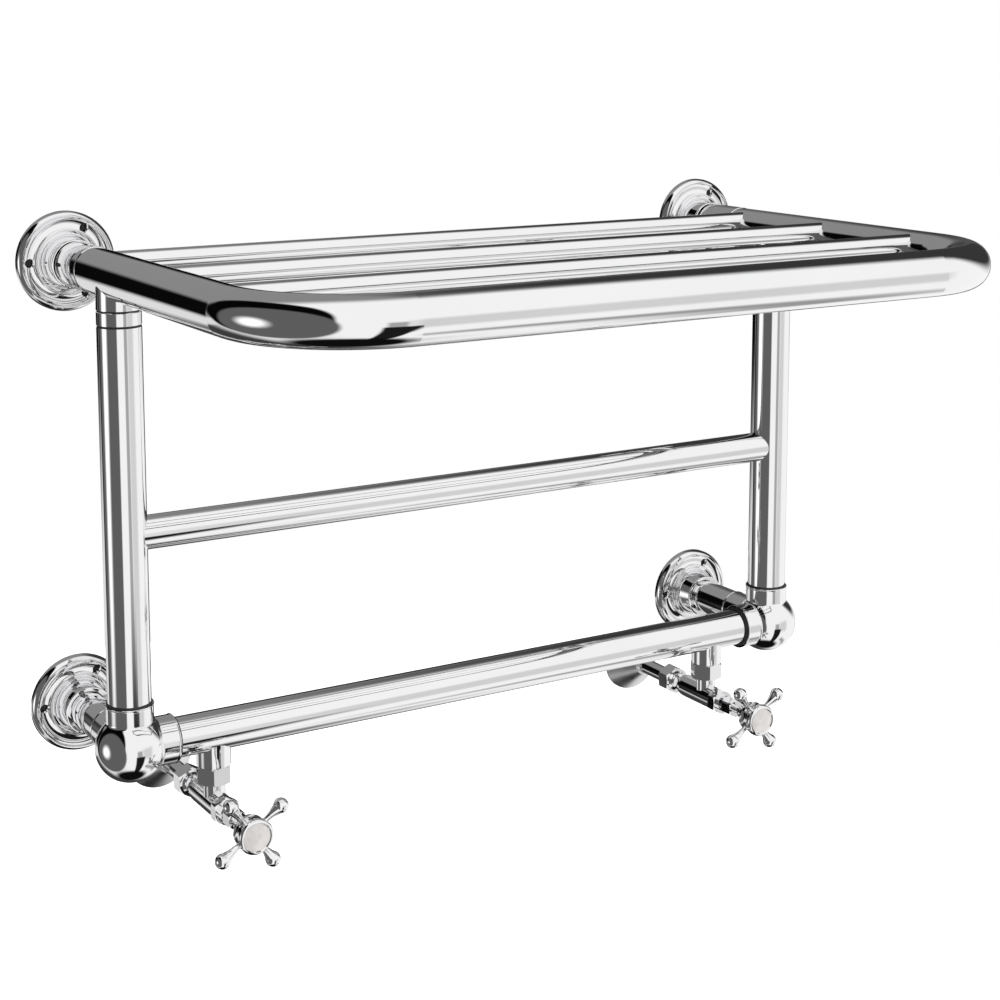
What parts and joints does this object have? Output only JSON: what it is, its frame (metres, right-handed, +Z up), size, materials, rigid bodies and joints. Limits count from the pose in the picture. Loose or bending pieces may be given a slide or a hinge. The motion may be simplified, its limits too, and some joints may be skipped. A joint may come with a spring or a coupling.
{
  "type": "wall-mounted towel rack",
  "caption": "Wall-mounted hot-water towel rack: tubular shelf with cross bars, two towel rails, ball elbows and angle valves with cross handles.",
  "frame": {"origin": "centre of the upper left wall flange's screw circle, on the wall plane", "axes": "+X to the right seen from the front, along the rails; +Y into the wall; +Z up"},
  "size_m": [0.7452, 0.482, 0.5243],
  "materials": {
    "chrome_tube": "polished chrome plating on drawn brass tube",
    "chrome_fittings": "polished chrome plating on cast and turned brass",
    "chrome_pipe": "chrome-plated copper pipe",
    "brass_parts": "machined brass",
    "steel_screws": "stainless steel",
    "rubber_seals": "moulded rubber",
    "fibre_washers": "red fibre board",
    "gland_packing": "pressed white packing",
    "ceramic_disc": "glazed ceramic"
  },
  "bodies": {
    "root": {"upper_left_wall_flange": "chrome_fittings", "upper_left_connector": "chrome_fittings", "upper_right_wall_flange": "chrome_fittings", "upper_right_connector": "chrome_fittings", "lower_left_wall_flange": "chrome_fittings", "lower_left_connector": "chrome_fittings", "lower_right_wall_flange": "chrome_fittings", "lower_right_connector": "chrome_fittings", "shelf_tube": "chrome_tube", "shelf_bar_front": "chrome_tube", "shelf_bar_middle": "chrome_tube", "shelf_bar_rear": "chrome_tube", "middle_rail": "chrome_tube", "lower_rail": "chrome_tube", "flange_grub_screws": "steel_screws", "coupling_o_rings": "rubber_seals", "coupling_seam_rings": "rubber_seals", "elbow_mouth_seals": "rubber_seals", "left_top_stub": "chrome_tube", "left_upright": "chrome_tube", "left_valve_boss": "chrome_tube", "left_coupling": "chrome_fittings", "left_ball_elbow": "chrome_fittings", "left_union_nut": "chrome_fittings", "left_valve_body": "chrome_fittings", "left_pipe_nut": "chrome_fittings", "left_pipe_cone": "chrome_fittings", "left_bonnet": "chrome_fittings", "left_gland_nut": "chrome_fittings", "left_supply_pipe": "chrome_pipe", "right_top_stub": "chrome_tube", "right_upright": "chrome_tube", "right_valve_boss": "chrome_tube", "right_coupling": "chrome_fittings", "right_ball_elbow": "chrome_fittings", "right_union_nut": "chrome_fittings", "right_valve_body": "chrome_fittings", "right_pipe_nut": "chrome_fittings", "right_pipe_cone": "chrome_fittings", "right_bonnet": "chrome_fittings", "right_gland_nut": "chrome_fittings", "right_supply_pipe": "chrome_pipe", "union_washers": "fibre_washers", "gland_packings": "gland_packing", "valve_tails": "brass_parts", "pipe_olives": "brass_parts", "air_vent_boss": "chrome_fittings"},
    "left_handle": {"left_handle": "chrome_fittings", "left_spindle": "chrome_fittings", "left_handle_screw": "steel_screws", "left_handle_disc": "ceramic_disc"},
    "left_plug": {"left_valve_plug": "brass_parts", "left_plug_washer": "rubber_seals"},
    "right_handle": {"right_handle": "chrome_fittings", "right_spindle": "chrome_fittings", "right_handle_screw": "steel_screws", "right_handle_disc": "ceramic_disc"},
    "right_plug": {"right_valve_plug": "brass_parts", "right_plug_washer": "rubber_seals"},
    "air_vent": {"air_vent_screw": "chrome_fittings"}
  },
  "joints": [
    {"name": "left_handle_turn", "type": "hinge", "parent": "root", "child": "left_handle", "pos_m": [0.0725, -0.2046, -0.4495], "axis": [0, -1, 0], "range_deg": [0, 720]},
    {"name": "left_plug_lift", "type": "slide", "parent": "root", "child": "left_plug", "axis": [0, -1, 0], "range_m": [0, 0.0031]},
    {"name": "right_handle_turn", "type": "hinge", "parent": "root", "child": "right_handle", "pos_m": [0.5875, -0.2046, -0.4495], "axis": [0, -1, 0], "range_deg": [0, 720]},
    {"name": "right_plug_lift", "type": "slide", "parent": "root", "child": "right_plug", "axis": [0, -1, 0], "range_m": [0, 0.0031]},
    {"name": "air_vent_turn", "type": "hinge", "parent": "root", "child": "air_vent", "pos_m": [0.688, -0.172, 0], "axis": [1, 0, 0], "range_deg": [0, 360]}
  ],
  "couplings": [
    {"joint": "left_plug_lift", "follows": "left_handle_turn", "m_per_rad": 0.00023873},
    {"joint": "right_plug_lift", "follows": "right_handle_turn", "m_per_rad": 0.00023873}
  ]
}
